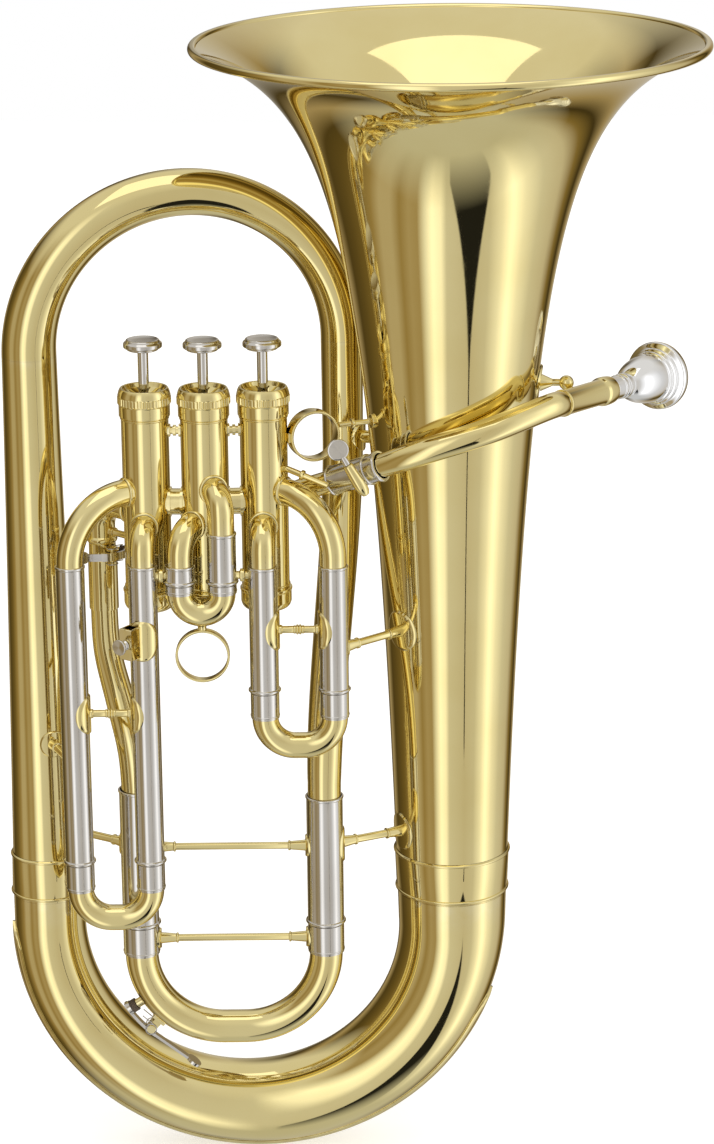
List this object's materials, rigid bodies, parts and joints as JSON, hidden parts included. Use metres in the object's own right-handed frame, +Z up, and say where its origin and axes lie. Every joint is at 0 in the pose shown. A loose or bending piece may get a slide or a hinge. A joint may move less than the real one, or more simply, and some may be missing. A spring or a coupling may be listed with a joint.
{
  "type": "euphonium",
  "caption": "Upright brass instrument with a flared bell, top-action piston valves with tuning slides, water keys, thumb ring, lyre socket and a cup mouthpiece.",
  "frame": {"origin": "on the bell's axis, level with the bow guard's lowest point, the datum from which a stand's cradle carries the instrument", "axes": "+Z up along the bell's axis towards its rim; +X from the outer branch towards the mouthpiece side; +Y away from the valve side"},
  "size_m": [0.3914, 0.2794, 0.6417],
  "materials": {
    "brass": "polished under clear lacquer",
    "nickel": "polished nickel silver",
    "silver": "bright silver plate",
    "steel": "drawn spring wire",
    "felt": "pressed felt",
    "cork": "matt black"
  },
  "bodies": {
    "horn": {"bell": "brass", "rim_wire": "steel", "ferrules": "brass", "bottom_bow": "brass", "bow_guard": "brass", "outer_branch": "brass", "top_bow": "brass", "inner_branch": "brass", "valve_crook": "brass", "main_sleeves": "nickel", "casing_1": "brass", "casing_2": "brass", "casing_3": "brass", "top_caps": "brass", "bottom_caps": "brass", "bumper_felts": "felt", "spring_1": "steel", "spring_2": "steel", "spring_3": "steel", "slide_sleeves": "nickel", "slide_crooks": "brass", "sleeve_braces": "brass", "body_braces": "brass", "valve_knuckles": "brass", "leadpipe": "brass", "leadpipe_sleeve": "nickel", "screw_post": "brass", "receiver": "brass", "lyre_socket": "brass", "thumb_ring": "brass", "crook_key_saddle": "brass", "crook_key_spring": "steel"},
    "valve_1": {"piston_1": "nickel", "stem_1": "nickel", "button_1": "nickel"},
    "valve_2": {"piston_2": "nickel", "stem_2": "nickel", "button_2": "nickel"},
    "valve_3": {"piston_3": "nickel", "stem_3": "nickel", "button_3": "nickel"},
    "main_slide": {"main_legs": "nickel", "main_bow": "brass", "main_slide_brace": "brass", "main_key_saddle": "brass", "main_key_spring": "steel"},
    "main_key": {"main_key_lever": "nickel", "main_key_cork": "cork"},
    "slide_1": {"slide_1_legs": "nickel", "slide_1_bow": "brass"},
    "slide_2": {"slide_2_legs": "nickel", "slide_2_bow": "brass", "pull_ring": "brass"},
    "slide_3": {"slide_3_legs": "nickel", "slide_3_bow": "brass"},
    "crook_key": {"crook_key_lever": "nickel", "crook_key_cork": "cork"},
    "post_screw": {"post_screw": "nickel"},
    "lyre_screw": {"lyre_screw": "nickel"},
    "mouthpiece": {"mouthpiece": "silver"}
  },
  "joints": [
    {"name": "valve_1_press", "type": "slide", "parent": "horn", "child": "valve_1", "axis": [0, 0, -1], "range_m": [0, 0.0175], "stiffness_N_per_m": 140, "springref_m": -0.025, "deforming": ["spring_1"]},
    {"name": "valve_2_press", "type": "slide", "parent": "horn", "child": "valve_2", "axis": [0, 0, -1], "range_m": [0, 0.0175], "stiffness_N_per_m": 140, "springref_m": -0.025, "deforming": ["spring_2"]},
    {"name": "valve_3_press", "type": "slide", "parent": "horn", "child": "valve_3", "axis": [0, 0, -1], "range_m": [0, 0.0175], "stiffness_N_per_m": 140, "springref_m": -0.025, "deforming": ["spring_3"]},
    {"name": "main_slide_pull", "type": "slide", "parent": "horn", "child": "main_slide", "axis": [0, 0, -1], "range_m": [0, 0.055]},
    {"name": "slide_1_pull", "type": "slide", "parent": "horn", "child": "slide_1", "axis": [0, 0, -1], "range_m": [0, 0.055]},
    {"name": "slide_2_pull", "type": "slide", "parent": "horn", "child": "slide_2", "axis": [0, 0, -1], "range_m": [0, 0.006]},
    {"name": "slide_3_pull", "type": "slide", "parent": "horn", "child": "slide_3", "axis": [0, 0, -1], "range_m": [0, 0.12]},
    {"name": "mouthpiece_pull", "type": "slide", "parent": "horn", "child": "mouthpiece", "axis": [0.587, 0.8079, -0.0523], "range_m": [0, 0.026]},
    {"name": "main_key_hinge", "type": "hinge", "parent": "main_slide", "child": "main_key", "pos_m": [-0.17162, -0.035, 0.08886], "axis": [0, -1, 0], "range_deg": [0, 12], "stiffness_Nm_per_rad": 0.05, "springref_deg": -40.11},
    {"name": "crook_key_hinge", "type": "hinge", "parent": "horn", "child": "crook_key", "pos_m": [-0.18674, -0.01939, 0.3635], "axis": [0, 0, -1], "range_deg": [0, 12], "stiffness_Nm_per_rad": 0.05, "springref_deg": -40.11},
    {"name": "post_screw_turn", "type": "hinge", "parent": "horn", "child": "post_screw", "pos_m": [-0.0468, -0.0543, 0.4066], "axis": [-0.501, -0.0802, 0.8617], "range_deg": [-180, 180]},
    {"name": "lyre_screw_turn", "type": "hinge", "parent": "horn", "child": "lyre_screw", "pos_m": [-0.17514, -0.06555, 0.328], "axis": [-0.5878, -0.809, 0], "range_deg": [-180, 180]}
  ]
}
